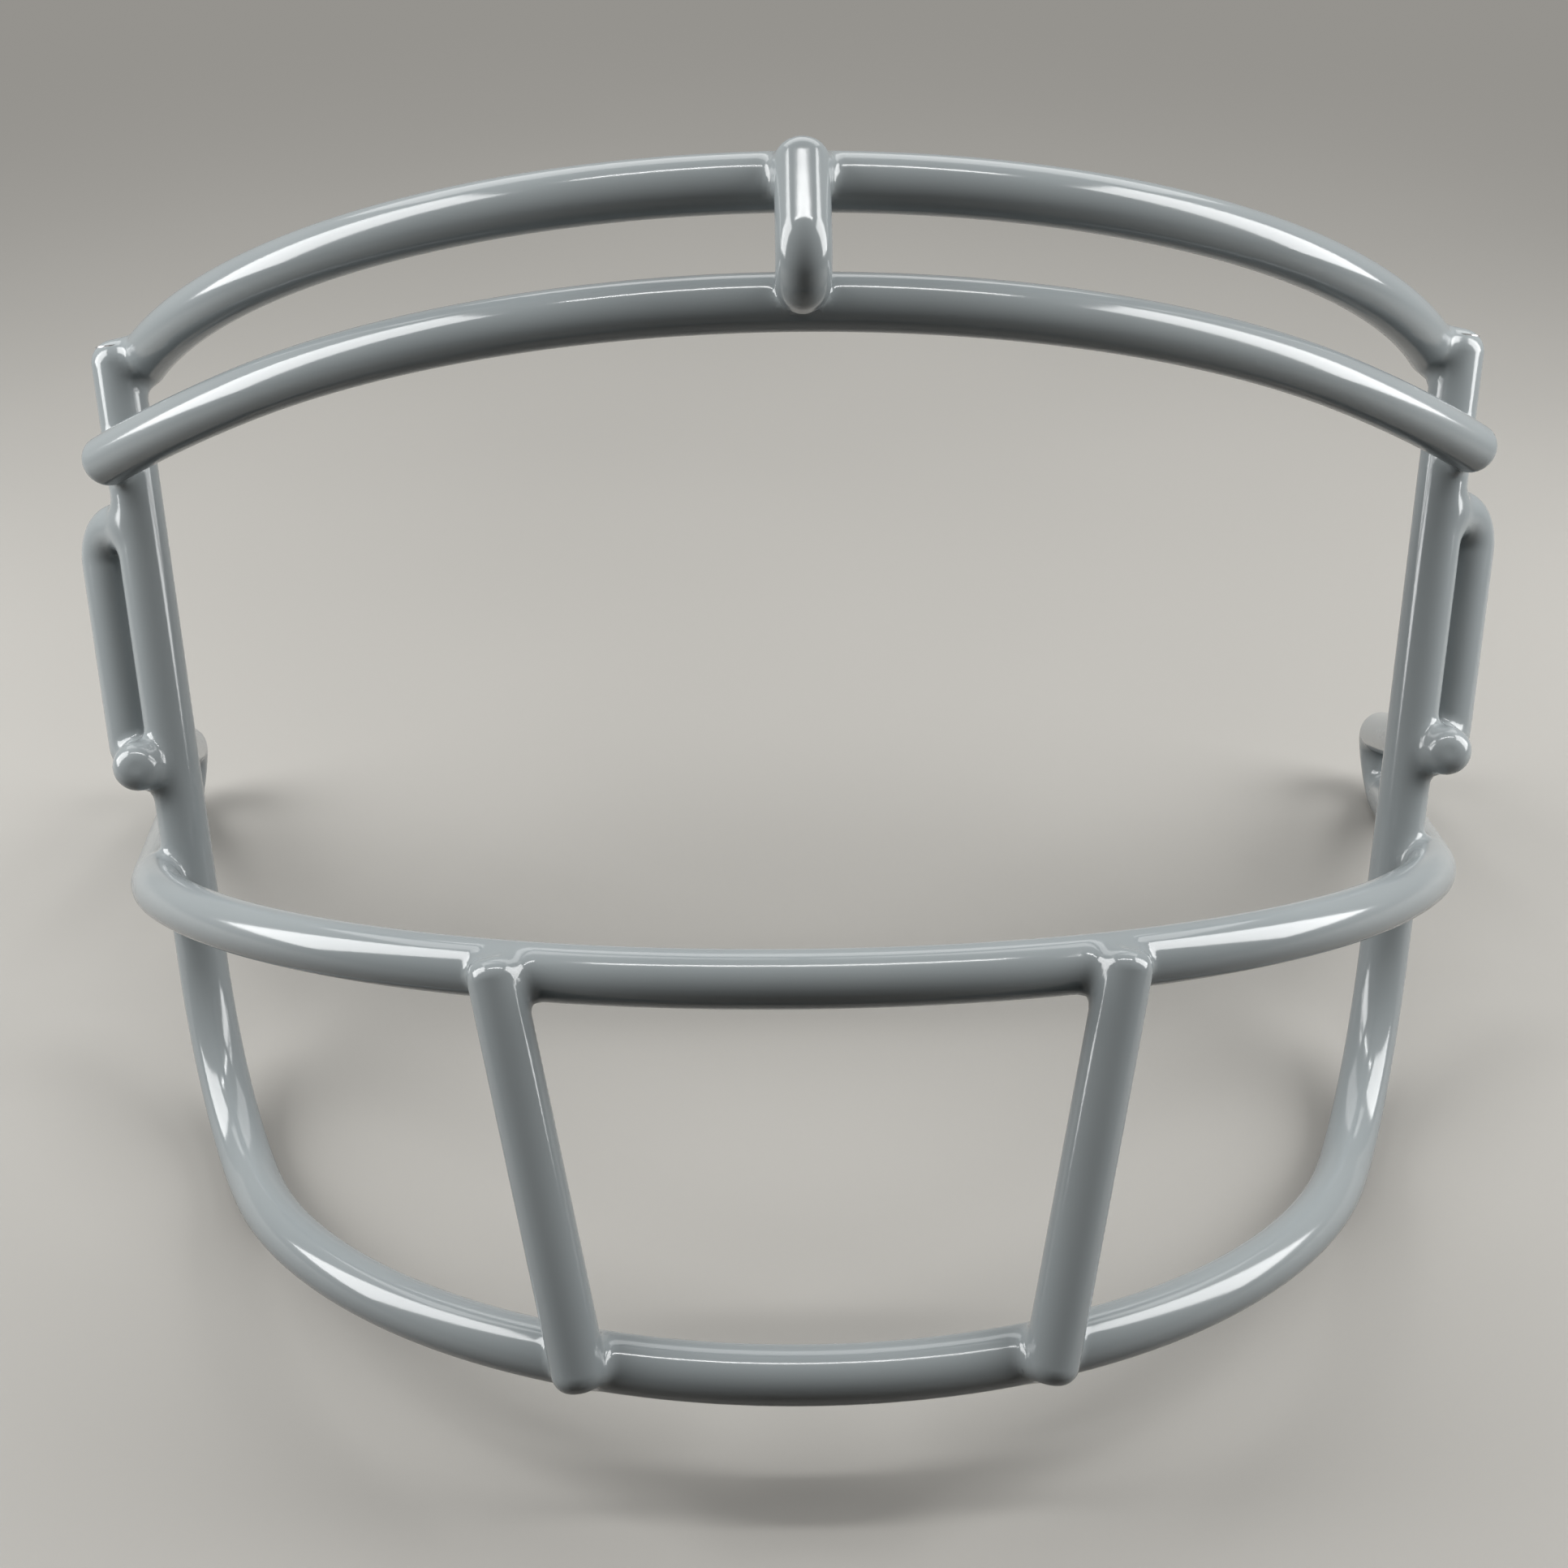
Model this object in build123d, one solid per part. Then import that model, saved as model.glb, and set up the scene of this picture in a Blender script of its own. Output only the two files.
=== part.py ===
from build123d import *
import os
from math import cos, radians, sin, sqrt, tan

# American football facemask: bent steel wires, resistance welded where they cross and dipped
# in one glossy plastic coat. Each wire has a steel core and its own length of the coat.
#
# The wires are laid out as the mask is worn: X to the viewer's right, Y back from the mouth
# bar towards the wearer, Z up. At the end the mask is leant back to the pose it rests in, on
# its two jaw bends and its two side loops. Lengths are millimetres, angles degrees.

# Wire stock
core_diameter = 5.7            # bare steel wire
coat_thickness = 0.95          # plastic on the wire and over its cut ends
thin_core_diameter = 5.2       # the brow post and the chin struts are cut from a thinner wire
weld_set_share = 0.12          # how far two crossing wires sink together, of a wire diameter
end_round_share = 0.7          # rounding of the coat over a cut end, of the coated radius
seam_turn_angle = 75           # turns the seam line of every round face away from the welds

# Mouth bar and side loops. The middle of the mouth bar is the origin as worn. The bar sets the
# width of the mask: the chin bar and the brow bars follow it.
mouth_radius = 108.2
mouth_half_angle = 60.9        # centre to the start of the cheek bend
mouth_climb_angle = 8.9        # the bar climbs towards the back
cheek_radius = 50.0
cheek_angle = 17.9
loop_length = 68.1             # lower leg, from the cheek bend back to the loop's rear corner
loop_width = 11.8              # between the legs' centrelines at the back
loop_bend_radius = 5.7
loop_tuck = 1.5                # the upper leg's rear end is nearer the wearer by this much
loop_join_height = 17.9        # where the upper leg meets the upright, above the mouth bar
loop_end_reach = 5.6           # the upper leg's cut end passes the upright's centreline

# Uprights: the two sides of the one long side wire
upright_weld_run = 0.5         # where the mouth bar crosses the upright, past the cheek bend
upright_spread_angle = 5.2     # leans outwards going up
upright_forward_angle = 8.5    # leans forwards going up
upright_height = 81.6          # above the crossing of the mouth bar, along the upright
upright_depth = 40.4           # below the crossing, along the upright, to the corner of the jaw

# Chin bar: the bottom of the side wire. Shares are of the half width at the corners of the jaw.
chin_climb_angle = 16.4
chin_half_angle = 55.2         # turn of the middle arc, centre to end
chin_end_angle = 66.7          # heading at the end of the side arc
chin_middle_share = 0.796     # reach of the middle arc
chin_side_share = 0.88         # reach of the side arc; a straight run follows
jaw_radius = 31.2

# Brow bars. A bar's middle arc reaches its share of the half width, and the side arc the rest.
upper_brow_drop = 2.4          # its ends below the upright's top, along the upright
upper_brow_slope_angle = 10.1  # the bar drops towards the back
upper_brow_half_angle = 41.0
upper_brow_end_angle = 63.6
upper_brow_middle_share = 0.736
upper_brow_round_angle = 156   # its ends sit this far round the uprights, from their fronts
brow_spacing = 16.0            # the lower bar's ends below the upper bar's, along the upright
lower_brow_slope_angle = 14.4
lower_brow_half_angle = 38.0
lower_brow_end_angle = 46.4
lower_brow_middle_share = 0.751
lower_brow_overhang = 3.1      # its ends cross the uprights' fronts and pass their centrelines

# Brow post, over the top of the upper bar and down the front of the lower one
post_back_angle = 2.0          # upper leg, from the vertical
post_tuck_angle = 37.5         # lower leg, from the vertical
post_top_length = 2.3          # past the weld on the upper bar
post_foot_shortfall = 0.8      # stops this far short of the middle of the weld on the lower bar
post_knee_radius = 5.5

# Chin struts, down the front of the mouth bar and of the chin bar
strut_top_half_spacing = 39.9
strut_foot_half_spacing = 29.9
strut_top_length = 1.0         # past the middle of the mouth bar
strut_foot_length = 2.1        # past the middle of the chin bar

# Side guards, from the loop's upper leg up beside the upright and forward to its back
guard_foot_run = 8.5           # behind the upright's centreline, along the loop's upper leg
guard_foot_overhang = 1.8      # outside the leg's centreline
guard_top_drop = 8.7           # below the lower brow bar's ends, along the upright
guard_bend_radius = 5.5

# Resting pose: the search for the lean angle at which it stands
most_lean_angle = 90
lean_tolerance_angle = 0.001
lean_sample_count = 24         # along each wire run that can touch the floor

core_radius = core_diameter / 2
thin_core_radius = thin_core_diameter / 2
weld_pitch = core_diameter * (1 - weld_set_share)
thin_weld_pitch = (core_radius + thin_core_radius) * (1 - weld_set_share)
right = Vector(1, 0, 0)
back = Vector(0, 1, 0)


def tilt_plane(origin, climb):
    """The plane of a bar: local X to the right, local Y back and up by climb."""
    slope = radians(climb)
    return Plane(origin=origin, x_dir=right, z_dir=(0, -sin(slope), cos(slope)))


def bow_runs(half_width, middle_share, half_angle, end_angle):
    """A middle arc that reaches its share of the half width, and a side arc that reaches the rest."""
    middle_reach = half_width * middle_share
    middle_sine = sin(radians(half_angle))
    side_radius = (half_width - middle_reach) / (sin(radians(end_angle)) - middle_sine)
    return [(middle_reach / middle_sine, half_angle), (side_radius, end_angle - half_angle)]


def arc_reach(runs):
    """Where a chain of (radius, angle) arcs from the middle ends, and its heading."""
    across, deep, heading = 0, 0, 0
    for radius, angle in runs:
        turned = heading + radians(angle)
        across += radius * (sin(turned) - sin(heading))
        deep += radius * (cos(heading) - cos(turned))
        heading = turned
    return across, deep, heading


def bar_edges(runs, plane):
    """A bar bent like a bow, from its left end to its right end, in its plane."""
    across, deep, heading = arc_reach(runs)
    middle_radius, middle_angle = runs[0]
    turns = runs[:0:-1] + [(middle_radius, 2 * middle_angle)] + runs[1:]
    start = Vector(-across, deep)
    tangent = Vector(cos(heading), -sin(heading))
    edges = []
    for radius, angle in turns:
        arc = JernArc(start=start, tangent=tangent, radius=radius, arc_size=angle)
        start = arc @ 1
        tangent = arc % 1
        edges.append(plane.from_local_coords(arc))
    return edges


def bar_point(runs, plane, across):
    """The point of a bar's middle arc at a distance across from its middle."""
    radius, _ = runs[0]
    return plane.from_local_coords(Vector(across, radius - sqrt(radius**2 - across**2)))


def bend(before, corner, after, radius):
    """The arc that rounds a corner between two straight runs."""
    toward = (before - corner).normalized()
    away = (after - corner).normalized()
    half = radians(toward.get_angle(away)) / 2
    bisector = (toward + away).normalized()
    centre = corner + bisector * (radius / sin(half))
    reach = radius / tan(half)
    return ThreePointArc(corner + toward * reach, centre - bisector * radius, corner + away * reach)


def bent_wire(points, radii):
    """Straight runs through points, each inner corner rounded."""
    edges = []
    start = points[0]
    for index, radius in enumerate(radii):
        arc = bend(points[index], points[index + 1], points[index + 2], radius)
        edges.append(Line(start, arc @ 0))
        edges.append(arc)
        start = arc @ 1
    edges.append(Line(start, points[-1]))
    return edges


def mirrored(point):
    return Vector(-point.X, point.Y, point.Z)


def left_run(edges):
    """The same run on the left side, from its far end back to its start."""
    run = []
    for edge in reversed(edges):
        if edge.geom_type == GeomType.LINE:
            run.append(Line(mirrored(edge @ 1), mirrored(edge @ 0)))
        else:
            run.append(ThreePointArc(mirrored(edge @ 1), mirrored(edge @ 0.5), mirrored(edge @ 0)))
    return run


# Mouth bar, cheek bends and the legs of the side loops
mouth_plane = tilt_plane((0, 0, 0), mouth_climb_angle)
mouth_runs = [(mouth_radius, mouth_half_angle), (cheek_radius, cheek_angle)]
mouth_across, mouth_deep, mouth_heading = arc_reach(mouth_runs)
cheek_end = mouth_plane.from_local_coords(Vector(mouth_across, mouth_deep))
leg_tip = Vector(mouth_across + cos(mouth_heading), mouth_deep + sin(mouth_heading))
leg_direction = (mouth_plane.from_local_coords(leg_tip) - cheek_end).normalized()

# The upright stands on the inner side of the leg, one weld pitch away from it
upright_lean = Vector(tan(radians(upright_spread_angle)), -tan(radians(upright_forward_angle)), 1)
upright_direction = upright_lean.normalized()
outward = upright_direction.cross(leg_direction).normalized()
outward = outward if outward.X > 0 else -outward
mouth_crossing = cheek_end + leg_direction * upright_weld_run - outward * weld_pitch


def upright_at(height):
    return mouth_crossing + upright_direction * height


upright_top = upright_at(upright_height)
jaw_corner = upright_at(-upright_depth)
upper_brow_height = upright_height - upper_brow_drop
lower_brow_height = upper_brow_height - brow_spacing

# Side loop: back along the lower leg, round the rear corners and forward along the outer face
# of the upright
rear_low = cheek_end + leg_direction * loop_length
rear_high = rear_low + Vector(-loop_tuck, 0, loop_width)
loop_join = upright_at(loop_join_height) + outward * weld_pitch
return_direction = (loop_join - rear_high).normalized()
loop_end = loop_join + return_direction * loop_end_reach
loop_edges = bent_wire([cheek_end, rear_low, rear_high, loop_end], [loop_bend_radius, loop_bend_radius])
mouth_edges = left_run(loop_edges) + bar_edges(mouth_runs, mouth_plane) + loop_edges



def hung_plane(end, deep, climb):
    """The plane of a bar whose end lies deep behind its middle, climbing towards the back."""
    slope = radians(climb)
    return tilt_plane((0, end.Y - deep * cos(slope), end.Z - deep * sin(slope)), climb)


# Chin bar: after its side arc a straight run leads to the corner of the jaw
chin_arc_reach = jaw_corner.X * chin_side_share
chin_runs = bow_runs(
    chin_arc_reach, chin_middle_share / chin_side_share, chin_half_angle, chin_end_angle
)
_, chin_arc_deep, chin_heading = arc_reach(chin_runs)
chin_deep = chin_arc_deep + (jaw_corner.X - chin_arc_reach) * tan(chin_heading)
chin_plane = hung_plane(jaw_corner, chin_deep, chin_climb_angle)
chin_edges = bar_edges(chin_runs, chin_plane)
side_edges = bent_wire([chin_edges[-1] @ 1, jaw_corner, upright_top], [jaw_radius])
frame_edges = left_run(side_edges) + chin_edges + side_edges


def brow_bar(end, slope_angle, middle_share, half_angle, end_angle):
    """The edges and the plane of a brow bar with its right end at a point."""
    runs = bow_runs(end.X, middle_share, half_angle, end_angle)
    _, deep, _ = arc_reach(runs)
    plane = hung_plane(end, deep, -slope_angle)
    return bar_edges(runs, plane), plane


# The upper bar's ends lie behind the uprights, the lower bar's in front of them
upper_round = radians(upper_brow_round_angle)
upper_offset = right * sin(upper_round) + back * cos(upper_round)
upper_edges, upper_plane = brow_bar(
    upright_at(upper_brow_height) - upper_offset * weld_pitch,
    upper_brow_slope_angle,
    upper_brow_middle_share,
    upper_brow_half_angle,
    upper_brow_end_angle,
)
lower_edges, lower_plane = brow_bar(
    upright_at(lower_brow_height) - back * weld_pitch + right * lower_brow_overhang,
    lower_brow_slope_angle,
    lower_brow_middle_share,
    lower_brow_half_angle,
    lower_brow_end_angle,
)

# Brow post: each leg passes one weld pitch in front of the bar that it is welded to
upper_leg = Vector(0, sin(radians(post_back_angle)), cos(radians(post_back_angle)))
lower_leg = Vector(0, sin(radians(post_tuck_angle)), -cos(radians(post_tuck_angle)))
upper_weld = upper_plane.origin + Vector(0, -upper_leg.Z, upper_leg.Y) * thin_weld_pitch
lower_weld = lower_plane.origin + Vector(0, lower_leg.Z, -lower_leg.Y) * thin_weld_pitch
gap = lower_weld - upper_weld
legs_across = upper_leg.Y * lower_leg.Z - upper_leg.Z * lower_leg.Y
knee_drop = (gap.Z * lower_leg.Y - gap.Y * lower_leg.Z) / legs_across
post_knee = upper_weld - upper_leg * knee_drop
post_edges = bent_wire(
    [upper_weld + upper_leg * post_top_length, post_knee, lower_weld - lower_leg * post_foot_shortfall],
    [post_knee_radius],
)


def strut_edges():
    """The right strut, in front of both bars."""
    on_mouth = bar_point(mouth_runs, mouth_plane, strut_top_half_spacing)
    on_chin = bar_point(chin_runs, chin_plane, strut_foot_half_spacing)
    down = (on_chin - on_mouth).normalized()
    front = (-back - down * (-back).dot(down)).normalized() * thin_weld_pitch
    return [Line(on_mouth + front - down * strut_top_length, on_chin + front + down * strut_foot_length)]


def guard_edges():
    """The right guard, from the loop's upper leg to the back of the upright."""
    foot = loop_join - return_direction * guard_foot_run + right * guard_foot_overhang
    top = upright_at(lower_brow_height - guard_top_drop)
    climb = (top - foot).dot(upright_direction)
    return bent_wire([foot, foot + upright_direction * climb, top], [guard_bend_radius])


right_strut = strut_edges()
right_guard = guard_edges()
# Each wire with the radius of its core
wires = {
    "side_frame": (frame_edges, core_radius),
    "mouth_bar": (mouth_edges, core_radius),
    "lower_brow_bar": (lower_edges, core_radius),
    "upper_brow_bar": (upper_edges, core_radius),
    "brow_post": (post_edges, thin_core_radius),
    "left_chin_strut": (left_run(right_strut), thin_core_radius),
    "right_chin_strut": (right_strut, thin_core_radius),
    "left_side_guard": (left_run(right_guard), core_radius),
    "right_side_guard": (right_guard, core_radius),
}
# A wire gives way to these where they meet in a weld
met_by = {
    "side_frame": [],
    "mouth_bar": ["side_frame"],
    "lower_brow_bar": ["side_frame"],
    "upper_brow_bar": ["side_frame"],
    "brow_post": ["lower_brow_bar", "upper_brow_bar"],
    "left_chin_strut": ["side_frame", "mouth_bar"],
    "right_chin_strut": ["side_frame", "mouth_bar"],
    "left_side_guard": ["side_frame", "mouth_bar"],
    "right_side_guard": ["side_frame", "mouth_bar"],
}


def tube(edges, radius):
    """A solid round bar along the edges, cut square at both ends."""
    path = Wire(edges)
    section = Plane(origin=path @ 0, z_dir=path % 0) * Rot(0, 0, seam_turn_angle) * Circle(radius)
    return sweep(section, path=path)


def coated_tube(edges, radius):
    """The outside of a wire's coat: it passes the wire's cut ends and is rounded over them."""
    rounding = radius * end_round_share
    first, last = edges[0], edges[-1]
    if len(edges) == 1:
        inner = [first.trim(rounding / first.length, 1 - rounding / first.length)]
    else:
        first_trimmed = first.trim(rounding / first.length, 1)
        last_trimmed = last.trim(0, 1 - rounding / last.length)
        inner = [first_trimmed] + edges[1:-1] + [last_trimmed]
    start = inner[0] @ 0
    end = inner[-1] @ 1
    cap_run = rounding + coat_thickness
    start_cap = Line(start - (inner[0] % 0) * cap_run, start)
    end_cap = Line(end, end + (inner[-1] % 1) * cap_run)
    bar = tube([start_cap] + inner + [end_cap], radius)
    tips = [start_cap @ 0, end_cap @ 1]
    cut_edges = [edge for tip in tips for edge in bar.faces().sort_by_distance(tip)[0].edges()]
    return fillet(cut_edges, rounding)


cores = {}
skins = {}
for name, (edges, radius) in wires.items():
    cores[name] = tube(edges, radius)
    skins[name] = coated_tube(edges, radius + coat_thickness)



def cut_away(piece, tools):
    """The piece without the tools, taken away one after the other."""
    for tool in tools:
        piece = piece - tool
    return piece


nodes = {}
for name in wires:
    others = met_by[name]
    nodes[name + "_core"] = cut_away(cores[name], [cores[other] for other in others])
    touching = others + [other for other in wires if name in met_by[other]]
    taken = [cores[name]] + [cores[other] for other in touching] + [skins[other] for other in others]
    nodes[name + "_coat"] = cut_away(skins[name], taken)
    print(name, "done")

# The lean that brings the jaw bends and the side loops down to one level


def samples(edges):
    return [edge @ (step / lean_sample_count) for edge in edges for step in range(lean_sample_count + 1)]


low_points = samples(frame_edges[-3:] + chin_edges)
rear_points = samples(loop_edges[:3])


def level_difference(lean):
    turn = radians(lean)
    front = min(point.Z * cos(turn) - point.Y * sin(turn) for point in low_points)
    rear = min(point.Z * cos(turn) - point.Y * sin(turn) for point in rear_points)
    return rear - front


lean, too_far = 0, most_lean_angle
while too_far - lean > lean_tolerance_angle:
    middle = (lean + too_far) / 2
    if level_difference(middle) > 0:
        lean = middle
    else:
        too_far = middle
print("leans back", round(lean, 2), "degrees")

leant = {name: node.rotate(Axis.X, -lean) for name, node in nodes.items()}
box = Compound(children=[Compound(part.wrapped) for part in leant.values()]).bounding_box()
seat = Location((-box.center().X, -box.center().Y, -box.min.Z))

os.makedirs("parts", exist_ok=True)
for name, node in leant.items():
    export_step(seat * node, "parts/" + name + ".step")
print("box", box.size)
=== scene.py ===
import math

import bmesh
import bpy
import numpy as np
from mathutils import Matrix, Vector


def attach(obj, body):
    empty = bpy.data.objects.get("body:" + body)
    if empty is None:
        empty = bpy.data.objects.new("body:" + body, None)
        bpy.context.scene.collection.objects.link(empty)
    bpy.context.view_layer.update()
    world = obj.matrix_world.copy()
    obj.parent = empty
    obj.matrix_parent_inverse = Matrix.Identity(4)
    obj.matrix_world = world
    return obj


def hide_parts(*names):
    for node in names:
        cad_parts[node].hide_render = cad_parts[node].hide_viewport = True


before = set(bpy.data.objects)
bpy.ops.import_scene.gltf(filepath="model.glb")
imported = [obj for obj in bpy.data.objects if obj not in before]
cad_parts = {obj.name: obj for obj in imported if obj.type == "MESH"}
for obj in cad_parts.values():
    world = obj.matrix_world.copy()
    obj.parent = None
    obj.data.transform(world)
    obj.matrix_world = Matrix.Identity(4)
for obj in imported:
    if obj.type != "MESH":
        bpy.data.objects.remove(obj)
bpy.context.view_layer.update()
print("frame loaded:", len(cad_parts), "nodes")

# Camera, at the photograph's place and angle
cameraSet = {
    "place": (-0.00836, -0.25107, 0.24398),
    "turn": (53.68, -0.091, -1.314),  # degrees
    "lens": 49.38,  # mm, on a square sensor
    "sensor": 36.0,
    "near": 0.01,
    "far": 20.0,
}
cameraData = bpy.data.cameras.new("photoCamera")
cameraData.lens = cameraSet["lens"]
cameraData.sensor_width = cameraSet["sensor"]
cameraData.clip_start = cameraSet["near"]
cameraData.clip_end = cameraSet["far"]
camera = bpy.data.objects.new("photoCamera", cameraData)
camera.location = cameraSet["place"]
camera.rotation_euler = [math.radians(angle) for angle in cameraSet["turn"]]
bpy.context.scene.collection.objects.link(camera)
bpy.context.scene.camera = camera

# The wires, each by the corners of its centreline and the radius of each bend. A route from
# "middle" starts at the mask's middle and is mirrored; one from "end" is whole.
mouthBar = {
    "node": "mouth_bar_coat",
    "radius": 0.0038,
    "middle": [
        (0.0, -0.15064, 0.11792),
        (0.09837, 0.00623, 0.03651),
        (0.11313, 0.07238, 0.00218),
        (0.11163, 0.07937, 0.01168),
        (0.10079, 0.01718, 0.05147),
    ],
    "bends": [0.1082, 0.05, 0.0057, 0.0057],
    "endRounding": 0.8,  # of the wire's radius
}
sideFrame = {
    "node": "side_frame_coat",
    "radius": 0.0038,
    "middle": [
        (0.0, -0.13966, 0.04619),
        (0.07735, -0.03503, 0.00825),
        (0.09147, -0.0042, -0.00292),
        (0.10241, 0.05252, 0.10453),
    ],
    "bends": [0.08867, 0.07897, 0.0312],
    "endRounding": 0.95,
}
lowerBrowBar = {
    "node": "lower_brow_bar_coat",
    "radius": 0.0038,
    "middle": [
        (0.0, -0.01349, 0.15663),
        (0.09179, 0.0319, 0.10111),
        (0.10386, 0.03993, 0.0913),
    ],
    "bends": [0.12669, 0.23833],
    "endRounding": 0.65,
}
upperBrowBar = {
    "node": "upper_brow_bar_coat",
    "radius": 0.0038,
    "middle": [
        (0.0, -0.01265, 0.17092),
        (0.09035, 0.04149, 0.11401),
        (0.10016, 0.0551, 0.0997),
    ],
    "bends": [0.11236, 0.11033],
    "endRounding": 0.8,
}
browPost = {
    "node": "brow_post_coat",
    "radius": 0.00355,
    "end": [
        (0.0, 0.01108, 0.14912),
        (0.0, -0.0029, 0.139),
        (0.0, 0.0046, 0.1335),
    ],
    "bends": [0.004],
    "coreNode": "brow_post_core",
    "coreRadius": 0.0026,
    "endRounding": 0.8,
}
chinStrut = {
    "node": "right_chin_strut_coat",
    "radius": 0.00355,
    "end": [
        (0.0401, -0.04571, 0.0654),
        (0.02949, -0.07715, 0.02288),
    ],
    "bends": [],
    "endRounding": 0.7,
}
sideGuard = {
    "node": "right_side_guard_coat",
    "radius": 0.0038,
    "end": [
        (0.10464, 0.02893, 0.04396),
        (0.10796, 0.04614, 0.07657),
        (0.09998, 0.03992, 0.08066),
    ],
    "bends": [0.0055],
    "endRounding": 0.95,
}
skinSet = {
    "capReach": 0.00095,  # coat beyond a wire's cut end
    "weldFillet": 0.0022,  # width of the pooled coat in the crease of a weld
    "voxel": 0.0008,
    "sampleStep": 0.0012,
    "tubeRings": 6,
    "relaxRounds": 6,
    "relaxShare": 0.5,  # how far a point goes towards its neighbours' mean
    "endZone": 3,  # wire radii around a tip, where its cap can be the nearest surface
    "shortestRun": 1e-4,
    "leastLength": 1e-9,  # keeps divisions from zero
    "leastSlope": 0.05,  # where two fields pull apart, the step onto the skin stays short
}


def mirrorPoint(point):
    return (-point[0], point[1], point[2])


# Corners and bend radii of a wire from one end to the other.
def wholeRoute(wire):
    if "end" in wire:
        return wire["end"], wire["bends"]
    half = wire["middle"]
    corners = [mirrorPoint(point) for point in reversed(half[1:])] + half
    return corners, wire["bends"][:0:-1] + wire["bends"]


# Straight runs and arcs of a route, as dictionaries.
def routeRuns(corners, bends):
    corners = [np.array(corner) for corner in corners]
    runs = []
    start = corners[0]
    for index, radius in enumerate(bends):
        corner = corners[index + 1]
        backWay = corners[index] - corner
        onWay = corners[index + 2] - corner
        backWay = backWay / np.linalg.norm(backWay)
        onWay = onWay / np.linalg.norm(onWay)
        half = math.acos(backWay @ onWay) / 2
        reach = radius / math.tan(half)
        split = (backWay + onWay) / np.linalg.norm(backWay + onWay)
        centre = corner + split * radius / math.sin(half)
        arcStart = corner + backWay * reach
        runs.append(straightRun(start, arcStart))
        runs.append(
            {
                "centre": centre,
                "first": (arcStart - centre) / radius,
                "second": -backWay,
                "radius": radius,
                "turn": math.pi - 2 * half,
            }
        )
        start = corner + onWay * reach
    runs.append(straightRun(start, corners[-1]))
    return [run for run in runs if run is not None]


def straightRun(start, end):
    length = np.linalg.norm(end - start)
    if length < skinSet["shortestRun"]:
        return None
    return {"start": start, "way": (end - start) / length, "length": length}


# The nearest point of a run's centreline to each spot.
def nearestOnRun(spots, run):
    if "way" in run:
        along = np.clip((spots - run["start"]) @ run["way"], 0, run["length"])
        return run["start"] + along[:, None] * run["way"]
    offset = spots - run["centre"]
    angle = np.arctan2(offset @ run["second"], offset @ run["first"])
    angle = np.where(angle < run["turn"] / 2 - math.pi, run["turn"], angle)
    angle = np.clip(angle, 0, run["turn"])
    rim = np.cos(angle)[:, None] * run["first"] + np.sin(angle)[:, None] * run["second"]
    return run["centre"] + run["radius"] * rim


# Points along a run, for the rough tube that the skin starts from.
def runPoints(run, step):
    if "way" in run:
        count = max(2, math.ceil(run["length"] / step) + 1)
        steps = np.linspace(0, run["length"], count)
        return run["start"] + steps[:, None] * run["way"]
    count = max(4, math.ceil(run["radius"] * run["turn"] / step) + 1)
    angles = np.linspace(0, run["turn"], count)
    rim = np.cos(angles)[:, None] * run["first"] + np.sin(angles)[:, None] * run["second"]
    return run["centre"] + run["radius"] * rim


# Both cut ends, each with the direction that the wire leaves it.
def wireEnds(corners):
    corners = [np.array(corner) for corner in corners]
    ends = []
    for tip, inner in ((corners[0], corners[1]), (corners[-1], corners[-2])):
        ends.append((tip, (tip - inner) / np.linalg.norm(tip - inner)))
    return ends


# Distance of each spot from a wire's coat, and the way straight out of it.
def wireField(spots, wire):
    closest = nearestOnRun(spots, wire["runs"][0])
    gap = np.linalg.norm(spots - closest, axis=1)
    for run in wire["runs"][1:]:
        other = nearestOnRun(spots, run)
        otherGap = np.linalg.norm(spots - other, axis=1)
        nearer = otherGap < gap
        closest[nearer] = other[nearer]
        gap[nearer] = otherGap[nearer]
    gap = np.maximum(gap, skinSet["leastLength"])
    outward = (spots - closest) / gap[:, None]
    field = gap - wire["radius"]
    rounding = wire["endRounding"] * wire["radius"]
    capLevel = skinSet["capReach"] - rounding
    for tip, way in wire["ends"]:
        offset = spots - tip
        height = offset @ way
        side = offset - height[:, None] * way
        reach = np.maximum(np.linalg.norm(side, axis=1), skinSet["leastLength"])
        inZone = np.linalg.norm(offset, axis=1) < skinSet["endZone"] * wire["radius"]
        nearEnd = (height > capLevel) & inZone
        pastHeight = height - capLevel
        pastReach = np.maximum(reach - (wire["radius"] - rounding), 0)
        past = np.maximum(np.hypot(pastHeight, pastReach), skinSet["leastLength"])
        capWay = pastHeight[:, None] * way + pastReach[:, None] * side / reach[:, None]
        capWay = capWay / past[:, None]
        field[nearEnd] = (past - rounding)[nearEnd]
        outward[nearEnd] = capWay[nearEnd]
    return field, outward


# The whole coat: every wire's field, and the fields joined with a fillet at the welds.
def skinField(spots):
    fillet = skinSet["weldFillet"]
    fields = []
    joined, joinedWay = None, None
    for wire in wires:
        field, way = wireField(spots, wire)
        fields.append(field)
        if joined is None:
            joined, joinedWay = field.copy(), way.copy()
            continue
        mix = np.clip(0.5 + 0.5 * (joined - field) / fillet, 0, 1)
        joined = joined * (1 - mix) + field * mix - fillet * mix * (1 - mix)
        joinedWay = joinedWay * (1 - mix)[:, None] + way * mix[:, None]
    return joined, joinedWay, np.array(fields)


# Moves the spots onto the joined coat.
def ontoSkin(spots, rounds=3):
    for _ in range(rounds):
        joined, way, _ = skinField(spots)
        slope = np.maximum((way**2).sum(1), skinSet["leastSlope"])
        spots = spots - (joined / slope)[:, None] * way
    return spots


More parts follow.
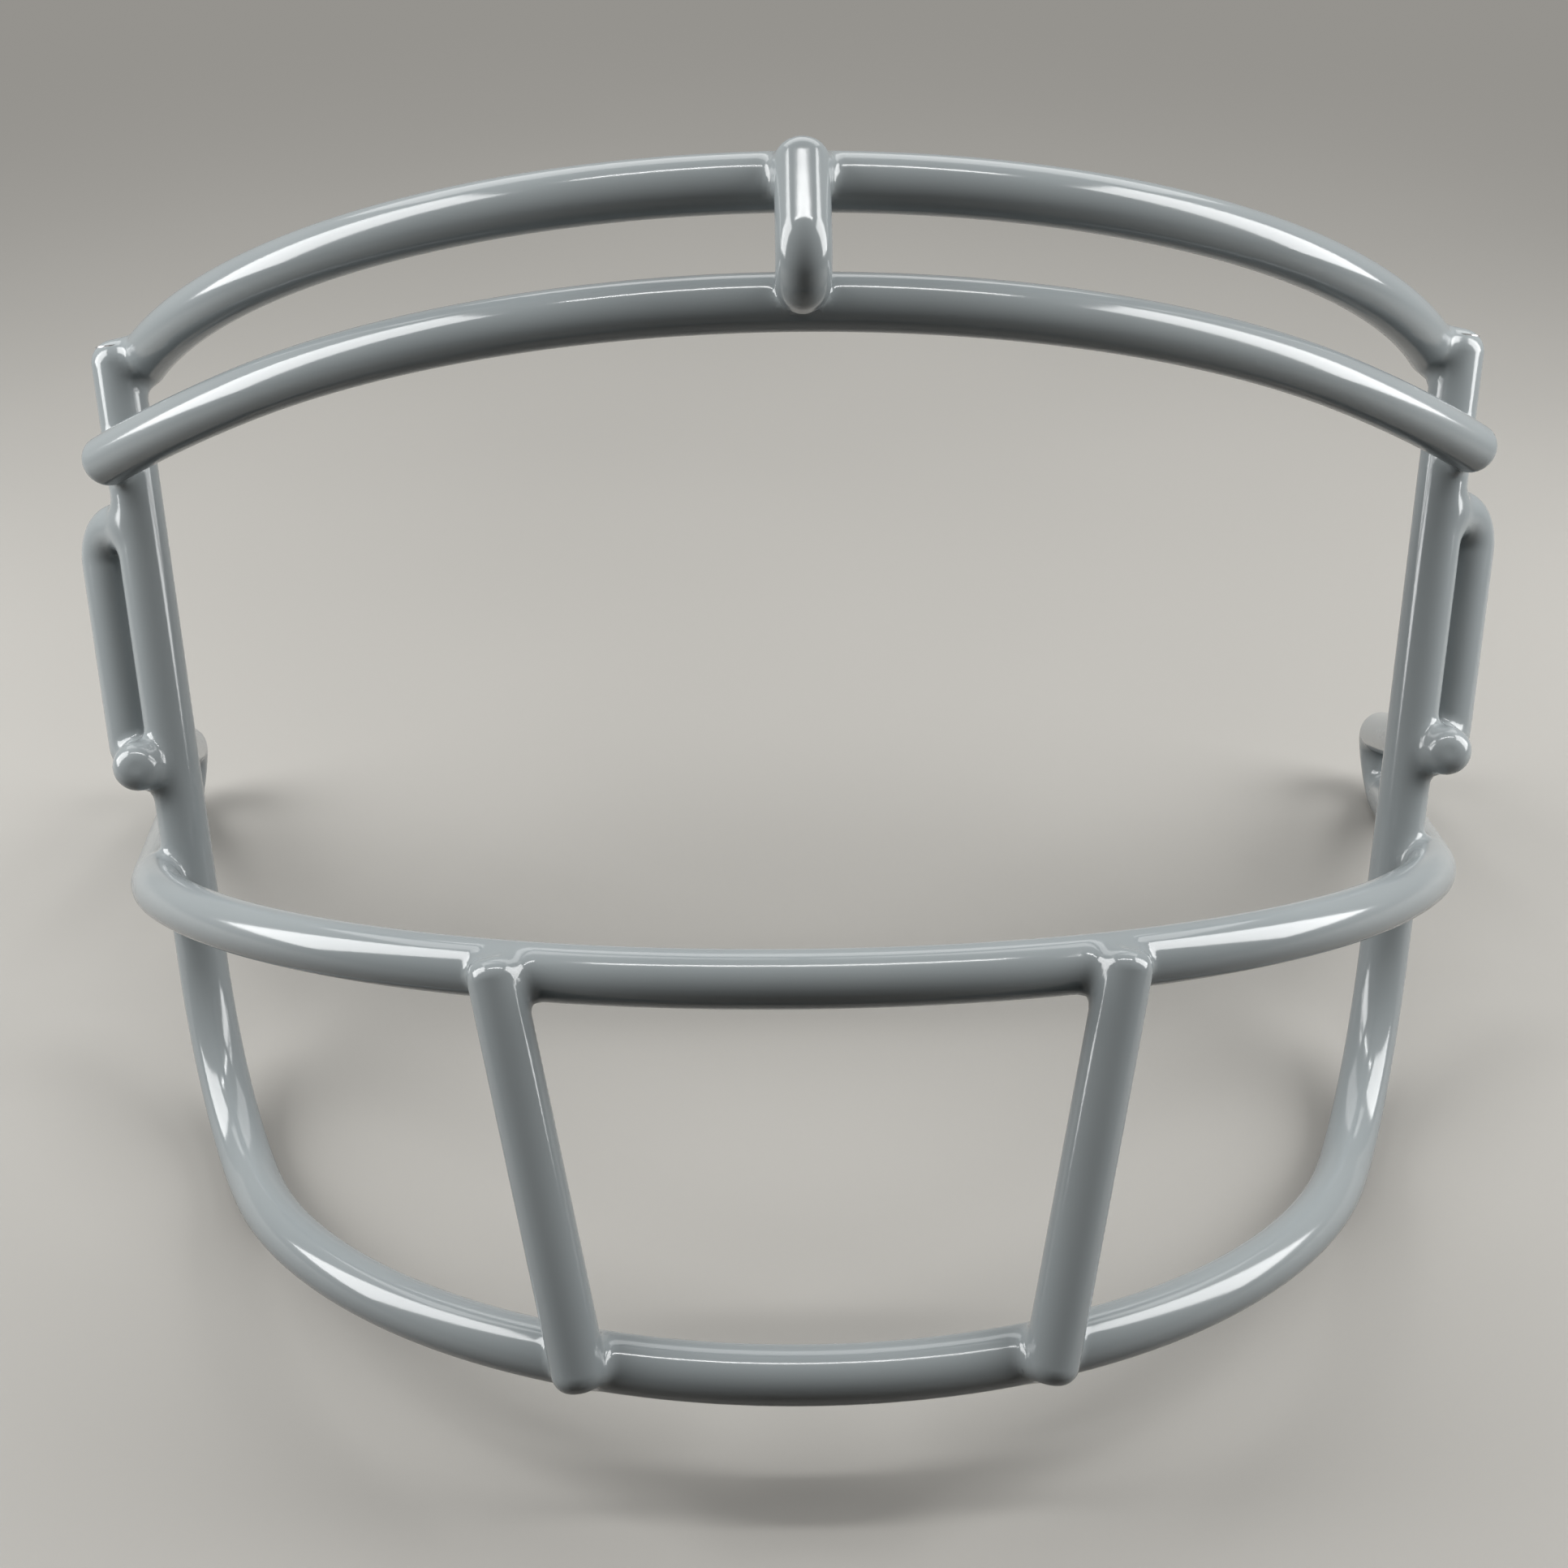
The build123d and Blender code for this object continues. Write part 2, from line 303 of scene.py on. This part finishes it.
# A wire ready for the skin, on the left side if asked.
def namedWire(wire, side=""):
    corners, bends = wholeRoute(wire)
    node = wire["node"]
    if side == "left":
        corners = [mirrorPoint(point) for point in corners]
        node = node.replace("right", "left")
    return {
        "node": node,
        "radius": wire["radius"],
        "endRounding": wire["endRounding"],
        "runs": routeRuns(corners, bends),
        "ends": wireEnds(corners),
    }


wires = [
    namedWire(sideFrame),
    namedWire(mouthBar),
    namedWire(lowerBrowBar),
    namedWire(upperBrowBar),
    namedWire(browPost),
    namedWire(chinStrut, "left"),
    namedWire(chinStrut),
    namedWire(sideGuard, "left"),
    namedWire(sideGuard),
]


# A plain bevelled curve along the wire.
def roughTube(wire, reach=skinSet["capReach"]):
    path = [runPoints(run, skinSet["sampleStep"]) for run in wire["runs"]]
    points = np.vstack([path[0]] + [part[1:] for part in path[1:]])
    (firstTip, firstWay), (lastTip, lastWay) = wire["ends"]
    points[0] = firstTip + firstWay * reach
    points[-1] = lastTip + lastWay * reach
    curve = bpy.data.curves.new("roughTube", "CURVE")
    curve.dimensions = "3D"
    curve.bevel_depth = wire["radius"]
    curve.bevel_resolution = skinSet["tubeRings"]
    curve.use_fill_caps = True
    spline = curve.splines.new("POLY")
    spline.points.add(len(points) - 1)
    spline.points.foreach_set("co", np.hstack([points, np.ones((len(points), 1))]).ravel())
    return bpy.data.objects.new("roughTube", curve)


# All rough tubes joined and remeshed into one closed surface: its points and faces.
def remeshedTubes():
    joint = bmesh.new()
    for wire in wires:
        tube = roughTube(wire)
        mesh = bpy.data.meshes.new_from_object(tube)
        joint.from_mesh(mesh)
        bpy.data.objects.remove(tube)
        bpy.data.meshes.remove(mesh)
    mesh = bpy.data.meshes.new("roughSkin")
    joint.to_mesh(mesh)
    joint.free()
    rough = bpy.data.objects.new("roughSkin", mesh)
    bpy.context.scene.collection.objects.link(rough)
    remesh = rough.modifiers.new("remesh", "REMESH")
    remesh.mode = "VOXEL"
    remesh.voxel_size = skinSet["voxel"]
    remesh.adaptivity = 0
    bpy.context.view_layer.update()
    evaluated = rough.evaluated_get(bpy.context.evaluated_depsgraph_get())
    made = evaluated.to_mesh()
    spots = np.empty(len(made.vertices) * 3)
    made.vertices.foreach_get("co", spots)
    faces = [tuple(face.vertices) for face in made.polygons]
    evaluated.to_mesh_clear()
    bpy.data.objects.remove(rough)
    bpy.data.meshes.remove(mesh)
    return spots.reshape(-1, 3), faces


# The mean of each spot's neighbours along the edges.
def neighbourMean(spots, edges):
    total = np.zeros_like(spots)
    count = np.zeros(len(spots))
    for a, b in ((0, 1), (1, 0)):
        np.add.at(total, edges[:, a], spots[edges[:, b]])
        np.add.at(count, edges[:, a], 1)
    return total / np.maximum(count, 1)[:, None]


# Moves the spots part of the way to their neighbours' means, and back onto the coat.
def relaxed(spots, means):
    share = skinSet["relaxShare"]
    return ontoSkin(spots * (1 - share) + means * share, rounds=1)


spots, faces = remeshedTubes()
faceArray = np.array([face if len(face) == 4 else face + (face[0],) for face in faces])
print("rough skin:", len(spots), "points")

sides = np.vstack([faceArray[:, [i, (i + 1) % 4]] for i in range(4)])
realSides = sides[:, 0] != sides[:, 1]
sides = np.sort(sides[realSides], axis=1)
edges = np.unique(sides, axis=0)
spots = ontoSkin(spots)
for _ in range(skinSet["relaxRounds"]):
    spots = relaxed(spots, neighbourMean(spots, edges))
spots = ontoSkin(spots, rounds=2)

# Each face belongs to the wire that it is nearest to, and the faces of two wires meet on a seam
fields = skinField(spots)[2]
owner = fields[:, faceArray].mean(axis=2).argmin(axis=0)
sideOwner = np.tile(owner, 4)[realSides]
order = np.lexsort((sides[:, 1], sides[:, 0]))
sides, sideOwner = sides[order], sideOwner[order]
pairs = (sides[:-1] == sides[1:]).all(axis=1) & (sideOwner[:-1] != sideOwner[1:])
seamEdges = sides[:-1][pairs]
onSeam = np.zeros((len(spots), 1), bool)
onSeam[seamEdges.ravel()] = True
print("seam points:", int(onSeam.sum()))
for _ in range(skinSet["relaxRounds"]):
    seamMeans, means = neighbourMean(spots, seamEdges), neighbourMean(spots, edges)
    spots = relaxed(spots, np.where(onSeam, seamMeans, means))
spots = ontoSkin(spots, rounds=2)
way = skinField(spots)[1]
outward = way / np.linalg.norm(way, axis=1)[:, None]
print("skin drawn onto the wires")

# Materials
noiseSet = {"rampSpan": (0.35, 0.65), "valueSpan": (0.3, 0.7)}  # of a noise's 0 to 1
coatFinish = {
    "colour": (0.226, 0.250, 0.257),
    "paler": (0.246, 0.270, 0.276),
    "patchScale": 22.0,
    "roughness": (0.10, 0.15),
    "bending": 1.52,  # index of refraction
    "peelScale": 420.0,
    "peelDepth": 0.000008,
    "drawScale": 2600.0,
    "drawDepth": 0.0000012,
}
steelFinish = {
    "colour": (0.50, 0.50, 0.50),
    "darker": (0.36, 0.36, 0.37),
    "grainScale": 1800.0,
    "grainDepth": 0.000004,
    "roughness": (0.28, 0.42),
}
floorFinish = {
    "colour": (0.295, 0.286, 0.266),
    "paler": (0.315, 0.305, 0.284),
    "bounce": (0.06, 0.06, 0.058),  # what it throws back on the mask
    "backdrop": (0.30, 0.29, 0.27),
    "fade": (0.25, 0.6),  # metres from the mask, where the floor turns into the backdrop
    "patchScale": 5.0,
    "roughness": 0.75,
}


# A material with its Principled shader and object coordinates.
def freshMaterial(name):
    material = bpy.data.materials.new(name)
    material.use_nodes = True
    nodes = material.node_tree.nodes
    shader = nodes["Principled BSDF"]
    place = nodes.new("ShaderNodeTexCoord")
    return material, nodes, material.node_tree.links, shader, place.outputs["Object"]


def noise(nodes, links, place, scale, detail=2.0):
    texture = nodes.new("ShaderNodeTexNoise")
    texture.inputs["Scale"].default_value = scale
    texture.inputs["Detail"].default_value = detail
    links.new(place, texture.inputs["Vector"])
    return texture.outputs["Fac"]


def mixedColour(nodes, links, factor, first, second):
    ramp = nodes.new("ShaderNodeValToRGB")
    stops = zip(ramp.color_ramp.elements, noiseSet["rampSpan"], (first, second))
    for stop, position, colour in stops:
        stop.position = position
        stop.color = (*colour, 1)
    links.new(factor, ramp.inputs["Fac"])
    return ramp.outputs["Color"]


def mappedValue(nodes, links, factor, span, result):
    mapping = nodes.new("ShaderNodeMapRange")
    mapping.inputs["From Min"].default_value = span[0]
    mapping.inputs["From Max"].default_value = span[1]
    mapping.inputs["To Min"].default_value = result[0]
    mapping.inputs["To Max"].default_value = result[1]
    links.new(factor, mapping.inputs["Value"])
    return mapping


def bump(nodes, links, height, depth, below=None):
    node = nodes.new("ShaderNodeBump")
    node.inputs["Strength"].default_value = 1.0
    node.inputs["Distance"].default_value = depth
    links.new(height, node.inputs["Height"])
    if below is not None:
        links.new(below, node.inputs["Normal"])
    return node.outputs["Normal"]


# Glossy dip coat: faint patches, orange peel and fine draw marks.
def coatMaterial():
    material, nodes, links, shader, place = freshMaterial("dipCoat")
    patches = noise(nodes, links, place, coatFinish["patchScale"], 3.0)
    colour = mixedColour(nodes, links, patches, coatFinish["colour"], coatFinish["paler"])
    links.new(colour, shader.inputs["Base Color"])
    mapping = mappedValue(nodes, links, patches, noiseSet["valueSpan"], coatFinish["roughness"])
    links.new(mapping.outputs["Result"], shader.inputs["Roughness"])
    peel = noise(nodes, links, place, coatFinish["peelScale"], 1.0)
    marks = noise(nodes, links, place, coatFinish["drawScale"], 1.0)
    normal = bump(nodes, links, peel, coatFinish["peelDepth"])
    normal = bump(nodes, links, marks, coatFinish["drawDepth"], normal)
    links.new(normal, shader.inputs["Normal"])
    shader.inputs["IOR"].default_value = coatFinish["bending"]
    return material


# Drawn steel wire under the coat.
def steelMaterial():
    material, nodes, links, shader, place = freshMaterial("drawnSteel")
    grain = noise(nodes, links, place, steelFinish["grainScale"], 3.0)
    colour = mixedColour(nodes, links, grain, steelFinish["darker"], steelFinish["colour"])
    links.new(colour, shader.inputs["Base Color"])
    mapping = mappedValue(nodes, links, grain, noiseSet["valueSpan"], steelFinish["roughness"])
    links.new(mapping.outputs["Result"], shader.inputs["Roughness"])
    links.new(bump(nodes, links, grain, steelFinish["grainDepth"]), shader.inputs["Normal"])
    shader.inputs["Metallic"].default_value = 1.0
    return material


# 1 for the rays that see the pale surroundings: camera, gloss and glass.
def shownRays(nodes, links):
    rayKind = nodes.new("ShaderNodeLightPath")
    shown = rayKind.outputs["Is Camera Ray"]
    for kind in ("Is Glossy Ray", "Is Transmission Ray"):
        either = nodes.new("ShaderNodeMath")
        either.operation = "MAXIMUM"
        links.new(shown, either.inputs[0])
        links.new(rayKind.outputs[kind], either.inputs[1])
        shown = either.outputs["Value"]
    return shown


# A plain floor that turns into the backdrop away from the mask, and throws little light back.
def floorMaterial():
    material, nodes, links, shader, place = freshMaterial("paleFloor")
    patches = noise(nodes, links, place, floorFinish["patchScale"], 2.0)
    colour = mixedColour(nodes, links, patches, floorFinish["colour"], floorFinish["paler"])
    links.new(colour, shader.inputs["Base Color"])
    shader.inputs["Roughness"].default_value = floorFinish["roughness"]
    reach = nodes.new("ShaderNodeVectorMath")
    reach.operation = "LENGTH"
    links.new(place, reach.inputs[0])
    fade = mappedValue(nodes, links, reach.outputs["Value"], floorFinish["fade"], (0, 1))
    fade.interpolation_type = "SMOOTHSTEP"
    backdrop = nodes.new("ShaderNodeEmission")
    backdrop.inputs["Color"].default_value = (*floorFinish["backdrop"], 1)
    faded = nodes.new("ShaderNodeMixShader")
    links.new(fade.outputs["Result"], faded.inputs["Fac"])
    links.new(shader.outputs["BSDF"], faded.inputs[1])
    links.new(backdrop.outputs["Emission"], faded.inputs[2])
    bounce = nodes.new("ShaderNodeBsdfDiffuse")
    bounce.inputs["Color"].default_value = (*floorFinish["bounce"], 1)
    mixed = nodes.new("ShaderNodeMixShader")
    links.new(shownRays(nodes, links), mixed.inputs["Fac"])
    links.new(bounce.outputs["BSDF"], mixed.inputs[1])
    links.new(faded.outputs["Shader"], mixed.inputs[2])
    links.new(mixed.outputs["Shader"], nodes["Material Output"].inputs["Surface"])
    return material


coat = coatMaterial()
steel = steelMaterial()
for name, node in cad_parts.items():
    node.data.materials.clear()
    node.data.materials.append(steel if name.endswith("_core") else coat)


# One wire's length of the coat as a closed piece, capped where it meets its neighbours.
def skinPiece(index, wire):
    name = wire["node"].replace("_coat", "_skin")
    chosen = [face for face, faceOwner in zip(faces, owner) if faceOwner == index]
    used = sorted({corner for face in chosen for corner in face})
    place = {corner: number for number, corner in enumerate(used)}
    mesh = bpy.data.meshes.new(name)
    mesh.from_pydata(
        [tuple(spots[corner]) for corner in used],
        [],
        [tuple(place[corner] for corner in face) for face in chosen],
    )
    skin = bmesh.new()
    skin.from_mesh(mesh)
    rims = [edge for edge in skin.edges if edge.is_boundary]
    caps = bmesh.ops.holes_fill(skin, edges=rims, sides=0)["faces"]
    capCount = len(caps)
    bmesh.ops.poke(skin, faces=caps)
    skin.to_mesh(mesh)
    skin.free()
    skinFaces = len(chosen)
    normals = []
    for face in mesh.polygons:
        face.use_smooth = True
        for corner in face.vertices:
            normals.append(outward[used[corner]] if face.index < skinFaces else face.normal)
    mesh.normals_split_custom_set(normals)
    mesh.materials.append(coat)
    piece = bpy.data.objects.new(name, mesh)
    bpy.context.scene.collection.objects.link(piece)
    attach(piece, "root")
    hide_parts(wire["node"])
    print(name, len(mesh.polygons), "faces,", capCount, "caps")


for index, wire in enumerate(wires):
    skinPiece(index, wire)

# The post's steel follows its coat
postCore = roughTube({**namedWire(browPost), "radius": browPost["coreRadius"]}, reach=0)
postMesh = bpy.data.meshes.new_from_object(postCore)
bpy.data.objects.remove(postCore)
postMesh.materials.clear()
postMesh.materials.append(steel)
postPiece = bpy.data.objects.new("brow_post_wire", postMesh)
bpy.context.scene.collection.objects.link(postPiece)
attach(postPiece, "root")
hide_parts(browPost["coreNode"])

# Floor
floorSet = {"size": 6.0}
floorMesh = bpy.data.meshes.new("floor")
reach = floorSet["size"] / 2
floorCorners = [(-reach, -reach, 0), (reach, -reach, 0), (reach, reach, 0), (-reach, reach, 0)]
floorMesh.from_pydata(floorCorners, [], [(0, 1, 2, 3)])
floor = bpy.data.objects.new("floor", floorMesh)
floorMesh.materials.append(floorMaterial())
bpy.context.scene.collection.objects.link(floor)

# Light: a softbox on each side and a long strip between them, as the bars reflect them
lightSet = {
    "overheadStrip": {
        "place": (0.0, -0.021, 0.667),
        "aim": (0.0, -0.021, 0.0),
        "size": (0.62, 0.035),
        "watts": 1.5,
    },
    "leftBox": {
        "place": (-0.40, 0.02, 0.28),
        "aim": (0.0, 0.0, 0.1),
        "size": (0.22, 0.40),
        "watts": 2.6,
    },
    "rightBox": {
        "place": (0.40, 0.02, 0.28),
        "aim": (0.0, 0.0, 0.1),
        "size": (0.22, 0.40),
        "watts": 2.6,
    },
    "backPanel": {
        "place": (0.0, 0.75, 0.75),
        "aim": (0.0, 0.3, 0.0),
        "size": (1.6, 0.6),
        "watts": 7.0,
    },
}
worldSet = {"light": (0.55, 0.56, 0.58), "strength": 0.01}
for name, setting in lightSet.items():
    lampData = bpy.data.lights.new(name, "AREA")
    lampData.shape = "RECTANGLE"
    lampData.size, lampData.size_y = setting["size"]
    lampData.energy = setting["watts"]
    lamp = bpy.data.objects.new(name, lampData)
    lamp.location = setting["place"]
    towards = Vector(setting["aim"]) - Vector(setting["place"])
    lamp.rotation_euler = towards.to_track_quat("-Z", "Y").to_euler()
    bpy.context.scene.collection.objects.link(lamp)

world = bpy.data.worlds.new("studio")
world.use_nodes = True
bpy.context.scene.world = world
worldNodes, worldLinks = world.node_tree.nodes, world.node_tree.links
lightBackground = worldNodes["Background"]
lightBackground.inputs["Color"].default_value = (*worldSet["light"], 1)
lightBackground.inputs["Strength"].default_value = worldSet["strength"]
shownBackground = worldNodes.new("ShaderNodeBackground")
shownBackground.inputs["Color"].default_value = (*floorFinish["backdrop"], 1)
backgroundMix = worldNodes.new("ShaderNodeMixShader")
worldLinks.new(shownRays(worldNodes, worldLinks), backgroundMix.inputs["Fac"])
worldLinks.new(lightBackground.outputs["Background"], backgroundMix.inputs[1])
worldLinks.new(shownBackground.outputs["Background"], backgroundMix.inputs[2])
worldLinks.new(backgroundMix.outputs["Shader"], worldNodes["World Output"].inputs["Surface"])
bpy.context.scene.view_settings.view_transform = "Standard"
print("stage, lamps and world set")
